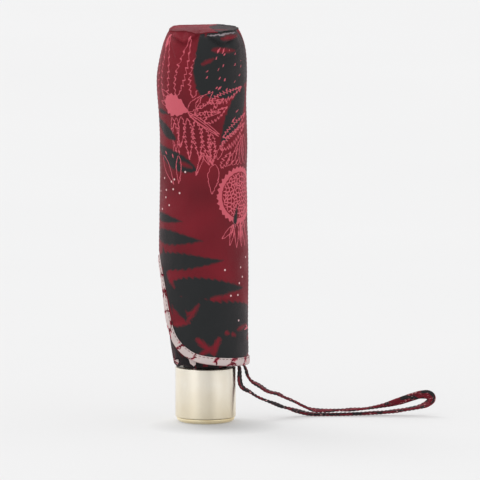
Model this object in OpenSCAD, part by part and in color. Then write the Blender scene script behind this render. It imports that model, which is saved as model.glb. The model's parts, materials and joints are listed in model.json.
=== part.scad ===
// Compact folding umbrella, furled and standing on its handle inside its fabric sleeve.
// +Z runs up the shaft, the origin is the centre of the handle's foot, sizes are millimetres.

/* [Overall] */
// Height of the sleeved umbrella from the handle's foot to the sleeve's top panel
total_h = 240; // [232:1:252]
// Number of ribs in the frame
rib_count = 8; // [6:1:8]

/* [Handle] */
// Outer diameter of the metal handle
handle_d = 36.6; // [36.2:0.2:38]
// Height of the handle's upper rim above the foot
handle_top = 33.3; // [32.8:0.1:33.5]
// Wall of the handle shell
handle_wall = 1.2; // [0.9:0.1:1.4]
// Height of the foot cap below the shell
foot_h = 3.1; // [2.4:0.1:3.2]

/* [Shaft] */
// Outer radius of the lower tube, which is fixed in the handle
lower_r = 4; // [3.8:0.1:4]
// Wall of each shaft tube
tube_wall = 0.6; // [0.5:0.05:0.65]
// Running clearance between two tubes, on the radius
tube_gap = 0.05; // [0.03:0.01:0.08]
// Travel of the middle tube on the lower tube
lower_stage = 130; // [100:5:135]
// Travel of the upper tube on the middle tube
upper_stage = 150; // [120:5:152]

/* [Sleeve] */
// Largest outer radius of the sleeve
sleeve_r = 27.6; // [27.5:0.1:28.5]
// Thickness of the sleeve's cloth and lining
sleeve_wall = 0.9; // [0.6:0.1:1]
// Width of the bound hem
binding_w = 4.9; // [3:0.1:6]

/* [Strap] */
// Width of the wrist strap
strap_w = 6; // [5:0.5:6]
// Thickness of the wrist strap
strap_t = 1.4; // [1:0.1:1.4]

/* [Hidden] */
$fn = 48;

// Shaft tubes, from the inner one outwards
lower_bore = lower_r - tube_wall;
middle_bore = lower_r + tube_gap;
middle_r = middle_bore + tube_wall;
upper_bore = middle_r + tube_gap;
upper_r = upper_bore + tube_wall;
lower_foot = 7.5;
lower_top = 186;
middle_foot = 41;
middle_top = 208;
upper_foot = 42;
upper_top = 226;
catch_r = 1.3;
catch_hole_r = 1.4;
lower_catch_z = 178;
upper_catch_z = 200;
open_catch_z = 210;

// Handle
handle_r = handle_d / 2;
shell_bore = handle_r - handle_wall;
foot_r = handle_r - 1.5;
lip_r = 13.4;
lip_t = 1;
neck_r = 12.8;
neck_top = 40.5;
clip_x = 12.6;
clip_end = 17.1;
clip_w = 7;
clip_low = 33.6;
clip_high = 37.4;
pin_z = 18;
pin_r = 1;

// Crown, runner and ribs
crown_foot = 221.5;
crown_top = 232.8;
crown_r = 8;
wire_ring_r = 7;
wire_r = 0.5;
crown_wire_z = 226.5;
runner_foot = 42.5;
runner_top = 60;
runner_wire_z = 56;
rib_turn = 180 / rib_count;
rib_w = 3;
rib_wall = 0.45;
ear_w = 1.2;
slot_w = 1.7;
stretcher_in = 8.4;
stretcher_out = 9.8;
top_rib_in = 10.2;
top_rib_out = 11.8;
middle_rib_in = 12.2;
middle_rib_out = 13.6;
outer_rib_r = 14.75;
outer_rib_wire = 0.8;
tip_r = 1.1;
tip_foot = 34.6;
tip_length = 6;
stretcher_pin_z = 140;
elbow_z = 49;
upper_elbow_z = 218;
rivet_r = 0.35;
rivet_hole_r = 0.4;
rivet_inset = 0.6;

// Furled canopy: the folded cloth around the ribs
canopy_bore = 15.95;
canopy_foot = 38.5;
canopy_top = total_h - 5.5;
tie_low = 95;
tie_high = 107;
tie_in = 24.4;
tie_out = 25;

// Sleeve: outer profile, radius and height
shoulder_r = sleeve_r - 6.4;
sleeve_profile = [
  [sleeve_r - 0.2, 28], [sleeve_r, 60], [sleeve_r, 92], [sleeve_r - 0.6, 119],
  [sleeve_r - 1.2, 150], [sleeve_r - 0.9, 190], [sleeve_r - 0.3, 211],
  [sleeve_r - 1.1, total_h - 17], [sleeve_r - 3.2, total_h - 7], [shoulder_r, total_h - 0.8],
  [shoulder_r - 3, total_h]
];
// Centre line of the bound hem, seen from the front: level on the right, rising on the left
hem_start = [-27.6, 108];
hem_pull_1 = [-20.5, 48];
hem_pull_2 = [-17, 39];
hem_end = [14, 38.8];
hem_steps = 24;

// Wrist strap: x, y, z and the turn of its face about its own run (0 lies flat)
strap_route = [
  [17.1, 0, 34.7, 0], [19.4, 0, 34.4, 0], [20.5, 0.3, 31.4, 8], [20.5, 0.8, 26, 14], [21.3, 1.5, 21.8, 18],
  [23.4, 2.7, 19.3, 20], [26.5, 4.5, 17.4, 18], [31, 7.2, 14, 10], [36, 10.3, 11.3, 5], [45, 15.8, 7.1, 8],
  [53.5, 19.6, 3.9, 15], [62, 22, 1.4, 8], [71, 23, 0.8, 0], [81, 23.6, 0.8, 0], [95, 24.1, 1.2, 0],
  [109, 24.3, 2, 10], [120, 24.3, 3.4, 30], [130, 24.2, 5.4, 50], [135.3, 24, 7.8, 62],
  [136.9, 23.8, 10.4, 66], [135.4, 23.5, 12.5, 62], [131, 23.3, 13, 58], [125, 23.2, 11.4, 55],
  [116, 22.9, 8.5, 45], [106, 22.6, 6, 20], [96, 22.4, 4.4, 8], [81, 22, 3.5, 0], [67.5, 20.8, 3.6, 0],
  [61.5, 19.4, 5.3, 5], [55.5, 17.6, 8.6, 12], [49, 15, 11.9, 12], [44, 12.9, 14.6, 8], [38, 10.2, 16.6, 5],
  [32.6, 7.4, 20.4, 8], [28, 4.8, 23.4, 12], [25.4, 2.8, 27.2, 22], [24.2, 1, 31.8, 12], [21.6, 0, 36, 0],
  [17.1, 0, 36.5, 0]
];

// ---------- shared shapes ----------

// Straight tube between two heights
module tube(outer_r, inner_r, low, high) {
  translate([0, 0, low])
    difference() {
      cylinder(r = outer_r, h = high - low);
      translate([0, 0, -1]) cylinder(r = inner_r, h = high - low + 2);
    }
}

// Places its children at the azimuth of rib k
module at_rib(k) {
  rotate([0, 0, rib_turn * (2 * k - 1)]) children();
}

// Cylinder across a rib, its axis along the tangent, centred at radius r and height z
module cross_pin(r, z, pin_radius, length) {
  translate([r, length / 2, z]) rotate([90, 0, 0]) cylinder(r = pin_radius, h = length);
}

// Flat ear in the rib's own plane, from an outline of radius and height
module ear(outline) {
  translate([0, ear_w / 2, 0]) rotate([90, 0, 0]) linear_extrude(ear_w) polygon(outline);
}

// U-shaped channel between two radii and heights, open towards the axis or away from it
module channel(r_in, r_out, low, high, open_inward) {
  web = open_inward ? r_out - rib_wall : r_in;
  side = (rib_w - 2 * rib_wall);
  difference() {
    translate([r_in, -rib_w / 2, low]) cube([r_out - r_in, rib_w, high - low]);
    translate([open_inward ? r_in - 1 : web + rib_wall, -side / 2, low - 1])
      cube([r_out - r_in - rib_wall + 1, side, high - low + 2]);
  }
}

// Ring of round wire about the shaft
module wire_ring(z) {
  translate([0, 0, z]) rotate_extrude() translate([wire_ring_r, 0]) circle(r = wire_r);
}

// ---------- handle ----------

module handle_shell() {
  color([0.86, 0.8, 0.66])
    rotate_extrude()
      polygon([
        [shell_bore, foot_h], [handle_r - 0.4, foot_h], [handle_r, foot_h + 0.4],
        [handle_r, handle_top - 0.5], [handle_r - 0.5, handle_top], [lip_r, handle_top],
        [lip_r, handle_top - lip_t], [shell_bore, handle_top - lip_t]
      ]);
}

module base_cap() {
  color([0.87, 0.68, 0.36])
    rotate_extrude()
      polygon([
        [0, 0], [foot_r - 1.2, 0], [foot_r - 0.4, 0.4], [foot_r, 1.2], [foot_r, foot_h],
        [shell_bore - 0.1, foot_h], [shell_bore - 0.1, 6.5], [shell_bore - 1.6, 6.5],
        [shell_bore - 1.6, 4.2], [0, 4.2]
      ]);
}

module handle_core() {
  core_r = 8;
  flange_r = shell_bore - 0.1;
  color([0.12, 0.12, 0.13])
    difference() {
      union() {
        translate([0, 0, 7]) cylinder(r = core_r, h = handle_top - lip_t - 7.1);
        translate([0, 0, 7]) cylinder(r = flange_r, h = 2);
        translate([0, 0, 27]) cylinder(r = flange_r, h = handle_top - lip_t - 27.1);
      }
      translate([0, 0, lower_foot]) cylinder(r = lower_r, h = handle_top);
      translate([0, core_r + 1, pin_z]) rotate([90, 0, 0]) cylinder(r = pin_r, h = 2 * core_r + 2);
    }
}

module handle_collar() {
  color([0.1, 0.1, 0.11])
    difference() {
      union() {
        tube(lip_r - 0.1, lower_r, handle_top - lip_t - 0.05, handle_top + 0.05);
        rotate_extrude()
          polygon([
            [lower_r, handle_top + 0.05], [neck_r, handle_top + 0.05], [neck_r, clip_high],
            [neck_r - 3, neck_top - 1], [lower_r, neck_top]
          ]);
      }
      translate([clip_x - 0.8, -clip_w / 2, clip_low]) cube([10, clip_w, clip_high - clip_low]);
    }
}

module tube_pin() {
  length = 15.6;
  color([0.75, 0.75, 0.77])
    translate([0, length / 2, pin_z]) rotate([90, 0, 0]) cylinder(r = pin_r - 0.02, h = length);
}

// Crimped plate that holds the strap's two sewn ends in the collar
module strap_clip() {
  color([0.6, 0.6, 0.62])
    translate([clip_x - 0.8, -clip_w / 2, clip_low])
      cube([clip_end - clip_x + 0.8, clip_w, clip_high - clip_low]);
}

// ---------- wrist strap ----------

function unit(v) = v / norm(v);
function place(p) = [p[0], p[1], p[2]];
// Point on the smooth curve through the route, between knots i and i + 1
function smooth(i, t) =
  let (
    last = len(strap_route) - 1,
    a = strap_route[max(i - 1, 0)], b = strap_route[i],
    c = strap_route[i + 1], d = strap_route[min(i + 2, last)]
  )
  0.5 * (2 * b + (c - a) * t + (2 * a - 5 * b + 4 * c - d) * t * t + (3 * b - a - 3 * c + d) * t * t * t);
strap_line = concat(
  [for (i = [0:len(strap_route) - 2]) for (t = [0, 0.5]) smooth(i, t)],
  [strap_route[len(strap_route) - 1]]
);
// Section of the strap, round the edge: across its width and through its thickness
strap_section = [
  [-strap_w / 2, -strap_t / 4], [-strap_w / 2 + 0.4, -strap_t / 2], [strap_w / 2 - 0.4, -strap_t / 2],
  [strap_w / 2, -strap_t / 4], [strap_w / 2, strap_t / 4], [strap_w / 2 - 0.4, strap_t / 2],
  [-strap_w / 2 + 0.4, strap_t / 2], [-strap_w / 2, strap_t / 4]
];
function strap_ring(i) =
  let (
    last = len(strap_line) - 1,
    along = i == 0 ? [1, 0, 0] : i == last ? [-1, 0, 0]
      : unit(place(strap_line[i + 1]) - place(strap_line[i - 1])),
    flat = unit([0, 1, 0] - along[1] * along),
    up = cross(along, flat),
    turn = strap_line[i][3],
    side = cos(turn) * flat + sin(turn) * up,
    face = cross(along, side)
  )
  [for (s = strap_section) place(strap_line[i]) + s[0] * side + s[1] * face];

module wrist_strap() {
  sides = len(strap_section);
  rings = len(strap_line);
  color([0.36, 0.09, 0.13])
    polyhedron(
      points = [for (i = [0:rings - 1]) each strap_ring(i)],
      faces = concat(
        [[for (k = [0:sides - 1]) k]],
        [for (i = [0:rings - 2]) for (k = [0:sides - 1])
          [i * sides + k, (i + 1) * sides + k, (i + 1) * sides + (k + 1) % sides, i * sides + (k + 1) % sides]],
        [[for (k = [sides - 1:-1:0]) (rings - 1) * sides + k]]
      )
    );
}

// ---------- telescopic shaft ----------

module catch_hole(r, z) {
  translate([0, r + 2, z]) rotate([90, 0, 0]) cylinder(r = catch_hole_r, h = r + 2);
}

module lower_tube() {
  color([0.16, 0.16, 0.17])
    difference() {
      tube(lower_r, lower_bore, lower_foot, lower_top);
      translate([0, lower_r + 1, pin_z]) rotate([90, 0, 0]) cylinder(r = pin_r, h = 2 * lower_r + 2);
      catch_hole(lower_r, lower_catch_z);
    }
}

module middle_tube() {
  color([0.7, 0.7, 0.72])
    difference() {
      tube(middle_r, middle_bore, middle_foot, middle_top);
      catch_hole(middle_r, upper_catch_z);
      catch_hole(middle_r, lower_catch_z - lower_stage);
    }
}

module upper_tube() {
  color([0.16, 0.16, 0.17])
    difference() {
      tube(upper_r, upper_bore, upper_foot, upper_top);
      catch_hole(upper_r, upper_catch_z - upper_stage);
      translate([-slot_w / 2, 0, open_catch_z]) cube([slot_w, upper_r + 1, 9]);
    }
}

// Round spring button on a leaf inside its tube; the tip's rim is flush with the outside of the tube
module spring_button(bore, outer, z) {
  leaf_w = 3;
  leaf_t = 0.6;
  leaf_y = bore - 2;
  tip_y = sqrt(outer * outer - catch_r * catch_r) - 0.03;
  translate([-leaf_w / 2, leaf_y, z - 8]) cube([leaf_w, leaf_t, 14]);
  translate([0, tip_y, z]) rotate([90, 0, 0]) cylinder(r = catch_r, h = tip_y - leaf_y - 0.1);
}

module lower_catch() {
  color([0.8, 0.8, 0.82]) spring_button(lower_bore, lower_r, lower_catch_z);
}

module upper_catch() {
  color([0.8, 0.8, 0.82]) spring_button(middle_bore, middle_r, upper_catch_z);
}

// Wedge that holds the runner up when the canopy is open
module open_catch() {
  color([0.8, 0.8, 0.82])
    translate([-ear_w / 2, 0, open_catch_z])
      rotate([90, 0, 90])
        linear_extrude(ear_w)
          polygon([[-1.5, 0.5], [upper_r - 0.2, 0.5], [upper_r + 0.3, 1], [upper_r + 2, 7],
                   [upper_r + 0.3, 8.3], [-1.5, 8.3]]);
}

// ---------- crown and runner ----------

// Slots that take the rib ends, open outwards from the hub's wire
module rib_slots(low, high, from_r) {
  for (k = [1:rib_count])
    at_rib(k) translate([from_r, -slot_w / 2, low]) cube([10, slot_w, high - low]);
}

module crown() {
  color([0.13, 0.13, 0.14])
    difference() {
      rotate_extrude()
        polygon([[0, crown_foot], [crown_r, crown_foot], [crown_r, 230], [4, crown_top], [2.5, crown_top],
                 [2.5, canopy_top + 1], [0, canopy_top + 1]]);
      translate([0, 0, crown_foot - 1]) cylinder(r = upper_r, h = upper_top - crown_foot + 1);
      rib_slots(crown_foot - 1, 228.6, 5.9);
      translate([0, 0, crown_wire_z])
        rotate_extrude() translate([wire_ring_r, 0]) circle(r = wire_r + 0.02);
    }
}

module crown_wire() {
  color([0.75, 0.75, 0.77]) wire_ring(crown_wire_z);
}

// Screwed cap that clamps the canopy's centre to the crown
module crown_cap() {
  color([0.13, 0.13, 0.14])
    difference() {
      rotate_extrude()
        polygon([[0, canopy_top + 0.1], [6.5, canopy_top + 0.1], [6.5, canopy_top + 1.2],
                 [5, canopy_top + 2.4], [3, canopy_top + 3], [0, canopy_top + 3]]);
      translate([0, 0, canopy_top]) cylinder(r = 2.5, h = 1.05);
    }
}

module runner() {
  color([0.13, 0.13, 0.14])
    difference() {
      rotate_extrude()
        polygon([[upper_r + 0.05, runner_foot], [7.4, runner_foot], [7.4, runner_foot + 2],
                 [6.6, runner_foot + 3], [6.6, 50], [8, 52], [8, runner_top], [upper_r + 0.05, runner_top]]);
      rib_slots(53.5, runner_top + 1, 5.95);
      translate([0, 0, runner_wire_z])
        rotate_extrude() translate([wire_ring_r, 0]) circle(r = wire_r + 0.02);
    }
}

module runner_wire() {
  color([0.75, 0.75, 0.77]) wire_ring(runner_wire_z);
}

// ---------- ribs, folded flat along the shaft ----------

// Hinged at the crown, hanging down to the lower elbow
module top_rib(k) {
  color([0.2, 0.2, 0.21])
    at_rib(k)
      difference() {
        union() {
          channel(top_rib_in, top_rib_out, elbow_z + 2.5, 221, true);
          difference() {
            translate([top_rib_in, -rib_w / 2, elbow_z - 1.5]) cube([top_rib_out - top_rib_in, rib_w, 4]);
            translate([top_rib_in - 1, -slot_w / 2, elbow_z - 3]) cube([5, slot_w, 6]);
          }
          ear([[6.2, crown_wire_z - 1], [7.4, crown_wire_z - 1], [top_rib_in, 218], [top_rib_out - 0.2, 218],
               [top_rib_out - 0.2, 221.4], [8.4, 227.3], [7.4, 227.6], [6.2, 227.3]]);
        }
        cross_pin(wire_ring_r, crown_wire_z, wire_r + 0.05, 5);
        cross_pin(top_rib_in + rivet_inset, elbow_z, rivet_hole_r, 5);
        cross_pin(top_rib_in + rivet_inset, stretcher_pin_z, rivet_hole_r, 5);
      }
}

// Hinged at the runner, reaching up to the middle of the top rib
module stretcher(k) {
  color([0.6, 0.6, 0.62])
    at_rib(k)
      difference() {
        union() {
          channel(stretcher_in, stretcher_out, 62, 136, false);
          ear([[6.2, 55.2], [7.8, 55.2], [stretcher_out, 60], [stretcher_out, 64], [stretcher_in + 0.2, 64],
               [stretcher_in + 0.2, 61], [6.2, 57]]);
          ear([[stretcher_in + 0.2, 133], [stretcher_out, 133], [top_rib_in + 1.1, 138.8],
               [top_rib_in + 1.1, 141.2], [top_rib_in - 0.2, 141.2], [stretcher_in + 0.2, 137]]);
        }
        cross_pin(wire_ring_r, runner_wire_z, wire_r + 0.05, 5);
        cross_pin(top_rib_in + rivet_inset, stretcher_pin_z, rivet_hole_r, 5);
      }
}

// Folded back up from the lower elbow to the upper elbow
module middle_rib(k) {
  color([0.6, 0.6, 0.62])
    at_rib(k)
      difference() {
        union() {
          channel(middle_rib_in, middle_rib_out, elbow_z + 1, upper_elbow_z - 2.5, false);
          difference() {
            translate([middle_rib_in, -rib_w / 2, upper_elbow_z - 2.5])
              cube([middle_rib_out - middle_rib_in, rib_w, 4]);
            translate([middle_rib_in - 1, -slot_w / 2, upper_elbow_z - 3]) cube([5, slot_w, 5]);
          }
          ear([[top_rib_in - 0.3, elbow_z - 1.1], [middle_rib_out, elbow_z - 1.1], [middle_rib_out, elbow_z + 3],
               [middle_rib_in + 0.2, elbow_z + 3], [top_rib_in - 0.3, elbow_z + 1]]);
        }
        cross_pin(top_rib_in + rivet_inset, elbow_z, rivet_hole_r, 5);
        cross_pin(middle_rib_in + rivet_inset, upper_elbow_z, rivet_hole_r, 5);
      }
}

// Round end rib, folded down again to the canopy's edge
module outer_rib(k) {
  color([0.75, 0.75, 0.77])
    at_rib(k)
      difference() {
        union() {
          translate([outer_rib_r, 0, tip_foot + 3.4])
            cylinder(r = outer_rib_wire, h = upper_elbow_z - 2 - tip_foot - 3.4);
          ear([[middle_rib_in + 0.1, upper_elbow_z - 0.9], [outer_rib_r - 0.6, upper_elbow_z - 6],
               [outer_rib_r + 0.6, upper_elbow_z - 6], [outer_rib_r + 0.6, upper_elbow_z - 1],
               [middle_rib_in + 1.2, upper_elbow_z + 1.2], [middle_rib_in + 0.1, upper_elbow_z + 1.2]]);
        }
        cross_pin(middle_rib_in + rivet_inset, upper_elbow_z, rivet_hole_r, 5);
      }
}

module rib_rivets() {
  places = [[top_rib_in, elbow_z], [top_rib_in, stretcher_pin_z], [middle_rib_in, upper_elbow_z]];
  color([0.8, 0.8, 0.8])
    for (k = [1:rib_count])
      for (p = places)
        at_rib(k) cross_pin(p[0] + rivet_inset, p[1], rivet_r, rib_w + 0.4);
}

// Moulded tips that the canopy's corners are sewn to
module rib_tips() {
  color([0.85, 0.8, 0.8])
    for (k = [1:rib_count])
      at_rib(k)
        difference() {
          translate([outer_rib_r, 0, tip_foot]) cylinder(r = tip_r, h = tip_length);
          translate([outer_rib_r, 0, tip_foot + 3.4]) cylinder(r = outer_rib_wire, h = 4);
        }
}

// ---------- cloth ----------

module furled_canopy() {
  color([0.24, 0.12, 0.16])
    rotate_extrude()
      polygon([
        [canopy_bore, canopy_foot], [17.6, canopy_foot], [20.2, 50], [22.8, 70], [24.3, 92], [24.3, 214],
        [22.4, 226], [17.5, 232.6], [9, canopy_top], [2.55, canopy_top], [2.55, canopy_top - 1.5],
        [9, canopy_top - 1.5], [13, 230.5], [canopy_bore, 226]
      ]);
}

// Band that keeps the canopy rolled up
module closure_tie() {
  color([0.3, 0.08, 0.12])
    difference() {
      tube(tie_out, tie_in, tie_low, tie_high);
      translate([-8, -tie_out - 1, tie_low + 1.5]) cube([16, 1.35, tie_high - tie_low - 3]);
    }
}

// Hook-and-loop patch under the tie's free end
module tie_patch() {
  color([0.1, 0.1, 0.1])
    translate([-7, -tie_out + 0.05, tie_low + 2]) cube([14, 0.25, tie_high - tie_low - 4]);
}

// Point on the hem's centre line
function hem_point(t) =
  pow(1 - t, 3) * hem_start + 3 * pow(1 - t, 2) * t * hem_pull_1
  + 3 * (1 - t) * t * t * hem_pull_2 + pow(t, 3) * hem_end;
function hem_run(t) =
  unit(3 * pow(1 - t, 2) * (hem_pull_1 - hem_start) + 6 * (1 - t) * t * (hem_pull_2 - hem_pull_1)
  + 3 * t * t * (hem_end - hem_pull_2));
// Point beside the centre line: positive is up into the cloth
function hem_beside(t, shift) = hem_point(t) + shift * [-hem_run(t)[1], hem_run(t)[0]];

// Region below the hem line moved up or down by shift, seen from the front
module below_hem(shift) {
  reach = 40;
  rotate([90, 0, 0])
    translate([0, 0, -reach])
      linear_extrude(2 * reach)
        polygon(concat(
          [[-reach, hem_beside(0, shift)[1] + 12]],
          [for (i = [0:hem_steps]) hem_beside(i / hem_steps, shift)],
          [[reach, hem_end[1] + shift], [reach, 0], [-reach, 0]]
        ));
}

// Open-bottomed bag of the given outer growth and wall
module bag(grow, wall) {
  rotate_extrude()
    polygon(concat(
      [for (p = sleeve_profile) [p[0] + grow, p[1]]],
      [[0, total_h], [0, total_h - wall]],
      [for (i = [len(sleeve_profile) - 1:-1:0])
        [sleeve_profile[i][0] + grow - wall, min(sleeve_profile[i][1], total_h - wall)]]
    ));
}

module sleeve() {
  color([0.45, 0.12, 0.17])
    difference() {
      bag(0, sleeve_wall);
      below_hem(binding_w / 2);
    }
}

module sleeve_binding() {
  color([0.84, 0.78, 0.78])
    difference() {
      intersection() {
        bag(0.3, sleeve_wall + 0.5);
        below_hem(binding_w / 2);
      }
      below_hem(-binding_w / 2);
    }
}

handle_shell();
base_cap();
handle_core();
handle_collar();
tube_pin();
strap_clip();
wrist_strap();
lower_tube();
middle_tube();
upper_tube();
lower_catch();
upper_catch();
open_catch();
crown();
crown_wire();
crown_cap();
runner();
runner_wire();
for (k = [1:rib_count]) {
  top_rib(k);
  stretcher(k);
  middle_rib(k);
  outer_rib(k);
}
rib_rivets();
rib_tips();
furled_canopy();
closure_tie();
tie_patch();
sleeve();
sleeve_binding();
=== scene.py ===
"""Furled folding umbrella in its printed sleeve: looks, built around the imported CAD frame."""
import json
import random
from math import copysign, cos, degrees, exp, pi, radians, sin, tanh, tau
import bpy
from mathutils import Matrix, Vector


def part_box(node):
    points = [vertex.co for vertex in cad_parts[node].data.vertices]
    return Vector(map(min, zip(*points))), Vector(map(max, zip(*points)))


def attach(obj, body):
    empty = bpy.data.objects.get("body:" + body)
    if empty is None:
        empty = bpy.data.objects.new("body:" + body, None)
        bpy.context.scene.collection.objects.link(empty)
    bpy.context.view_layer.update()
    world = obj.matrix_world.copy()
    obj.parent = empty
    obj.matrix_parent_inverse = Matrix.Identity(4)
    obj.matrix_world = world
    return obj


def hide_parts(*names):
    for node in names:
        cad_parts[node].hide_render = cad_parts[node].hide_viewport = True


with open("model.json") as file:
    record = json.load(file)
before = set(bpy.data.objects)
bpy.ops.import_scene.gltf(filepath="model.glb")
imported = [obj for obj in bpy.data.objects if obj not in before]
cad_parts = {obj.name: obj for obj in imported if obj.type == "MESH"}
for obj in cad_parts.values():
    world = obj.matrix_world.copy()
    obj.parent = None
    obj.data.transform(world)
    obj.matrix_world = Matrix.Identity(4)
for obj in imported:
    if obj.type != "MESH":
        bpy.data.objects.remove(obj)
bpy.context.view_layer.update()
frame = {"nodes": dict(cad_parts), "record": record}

from types import SimpleNamespace

import bmesh
import bpy
from mathutils import Vector, noise

MM = 0.001

# -------- driving sizes, in millimetres
# Azimuths are in degrees: +X at 0, the back (+Y) at 90, the slit's side at 180, the front at 270.

# The cloth leans a little to the left of the shaft: height and offset in x
SLEEVE_LEAN = [(28, -0.7), (60, -1.0), (99, -1.3), (165, -1.3), (208, -2.1), (228, -1.2), (240, -1.3)]
SLEEVE_RADII = [(28, 26.9), (60, 27.0), (99, 27.0), (125, 26.5), (165, 26.2), (190, 26.6), (208, 27.2),
                (220, 26.5), (229, 25.2), (235, 23.3), (238.4, 21.6)]
SEAM_Z = 238.4
SEAM_DIPS = [(240, 12, -0.4), (262, 12, 1.0), (318, 12, -0.5), (110, 16, 0.3), (60, 12, -0.3), (20, 14, 0.4)]
PANEL_RISE = 1.1
CLOTH_T = 0.8
# The hem's middle line: degrees round the sleeve from the slit, and height
HEM_LINE = [(0, 99.5), (8, 98), (14, 95.3), (20, 91), (27, 82.5), (34, 69.5), (40, 60.5), (50, 52),
            (65, 45.5), (82, 41.6), (110, 39.4), (140, 38.3), (180, 37.4)]
BINDING_HALF = 2.45
SLIT_SIDE = 180.0                       # azimuth of the slit
FURL_RADII = [(33, 18.4), (40, 19.9), (50, 21.6), (62, 22.6), (78, 23.2), (96, 23.5), (150, 23.4),
              (205, 23.6), (219, 22.6), (228, 19.5), (233, 14.0), (234.6, 8.0)]
GORES = 8
FLAP_STEP = 1.5
TAB_FEET = [34.2, 34.8, 34.0, 35.2, 34.6, 33.6, 37.0, 34.8]     # lower end of each corner tab
TAB_TOPS = [45, 46, 47, 45, 38, 47, 45, 46]

STRAP_W, STRAP_T = 6.0, 1.4
STRAP_TWIST = 16.0                      # most the ribbon wavers about its own run, in degrees
# The strap's route: x, y, z and the turn of its face about its own run, as in the CAD
STRAP_ROUTE = [
    (17.1, 0, 34.7, 0), (19.4, 0, 34.4, 0), (20.5, 0.3, 31.4, 10), (20.5, 0.8, 26, 18), (21.3, 1.5, 21.8, 16),
    (23.4, 2.7, 19.3, 8), (26.5, 4.5, 17.4, 0), (31, 7.2, 14, -6), (36, 10.3, 11.3, -6), (45, 15.8, 7.1, 0),
    (53.5, 19.6, 3.9, 6), (62, 22, 1.4, 4), (71, 23, 0.8, 0), (81, 23.6, 0.8, 0), (95, 24.1, 1.2, 0),
    (109, 24.3, 2, 2), (120, 24.3, 3.4, 6), (130, 24.2, 5.4, 16), (135.3, 24, 7.8, 40),
    (136.9, 23.8, 10.4, 64), (135.4, 23.5, 12.5, 66), (131, 23.3, 13, 62), (125, 23.2, 11.4, 55),
    (116, 22.9, 8.5, 45), (106, 22.6, 6, 22), (96, 22.4, 4.4, 8), (81, 22, 3.5, 0), (67.5, 20.8, 3.6, 0),
    (61.5, 19.4, 5.3, 4), (55.5, 17.6, 8.6, 8), (49, 15, 11.9, 6), (44, 12.9, 14.6, 2), (38, 10.2, 16.6, -4),
    (32.6, 7.4, 20.4, -8), (28, 4.8, 23.4, 0), (25.4, 2.8, 27.2, 8), (24.2, 1, 31.8, 6), (21.6, 0, 36, 0),
    (17.1, 0, 36.5, 0)]

# -------- small helpers


def lerp(a, b, t):
    return a + (b - a) * t


def smooth(t):
    """0 below 0, 1 above 1, eased between."""
    t = min(max(t, 0.0), 1.0)
    return t * t * (3 - 2 * t)


def bump(x, width):
    """1 at x = 0, fading to 0 over about width."""
    return exp(-(x / width) ** 2)


def around(a, b):
    """Signed difference of two azimuths in degrees."""
    return (a - b + 180) % 360 - 180


def polar(r, azimuth, z=0.0):
    """Point at radius r, an azimuth and height z."""
    a = radians(azimuth)
    return Vector((r * cos(a), r * sin(a), z))


def spline(points, t):
    """Smooth curve through equally weighted points; t runs from 0 to len(points) - 1."""
    i = min(int(t), len(points) - 2)
    f = t - i
    a, b, c, d = (points[max(0, min(len(points) - 1, k))] for k in (i - 1, i, i + 1, i + 2))
    return tuple(
        0.5 * (2 * q + (r - p) * f + (2 * p - 5 * q + 4 * r - s) * f * f + (3 * q - p - 3 * r + s) * f ** 3)
        for p, q, r, s in zip(a, b, c, d))


def profile(points, z):
    """Value at z from a list of (z, value), with smooth steps between the points."""
    if z <= points[0][0]:
        return points[0][1]
    for k in range(len(points) - 1):
        (z0, r0), (z1, r1) = points[k], points[k + 1]
        if z <= z1:
            f = (z - z0) / (z1 - z0)
            before, after = points[max(k - 1, 0)], points[min(k + 2, len(points) - 1)]
            m0 = (r1 - before[1]) / (z1 - before[0]) * (z1 - z0)
            m1 = (after[1] - r0) / (after[0] - z0) * (z1 - z0)
            return ((2 * f ** 3 - 3 * f * f + 1) * r0 + (f ** 3 - 2 * f * f + f) * m0
                    + (3 * f * f - 2 * f ** 3) * r1 + (f ** 3 - f * f) * m1)
    return points[-1][1]


def make_object(name, verts, faces, uvs=None, smooth_angle=40):
    """A mesh object from millimetre vertices. uvs gives the cloth millimetres of a face and a vertex."""
    mesh = bpy.data.meshes.new(name)
    mesh.from_pydata([Vector(v) * MM for v in verts], [], faces)
    mesh.validate()
    mesh.polygons.foreach_set("use_smooth", [True] * len(mesh.polygons))
    if uvs is not None:
        layer = mesh.uv_layers.new(name="cloth")
        for poly in mesh.polygons:
            for loop in poly.loop_indices:
                layer.data[loop].uv = uvs(poly.index, mesh.loops[loop].vertex_index)
    mesh.update()
    obj = bpy.data.objects.new(name, mesh)
    bpy.context.scene.collection.objects.link(obj)
    if smooth_angle:
        mark_sharp(mesh, smooth_angle)
    return obj


def mark_sharp(mesh, angle):
    """Edges that turn more than angle degrees stay crisp under smooth shading."""
    bm = bmesh.new()
    bm.from_mesh(mesh)
    for edge in bm.edges:
        if len(edge.link_faces) == 2 and edge.calc_face_angle(0.0) > radians(angle):
            edge.smooth = False
    bm.to_mesh(mesh)
    bm.free()


def thicken(obj, thickness):
    """Gives a single sheet of faces a cloth's thickness, on its inside."""
    wall = obj.modifiers.new("wall", "SOLIDIFY")
    wall.thickness, wall.offset = thickness * MM, -1


def grid(rows, cols, wrap):
    """Quads over a rows by cols grid of vertices, closed round its columns if wrap."""
    last = cols if wrap else cols - 1
    return [(i * cols + j, i * cols + (j + 1) % cols, (i + 1) * cols + (j + 1) % cols, (i + 1) * cols + j)
            for i in range(rows - 1) for j in range(last)]


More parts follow.
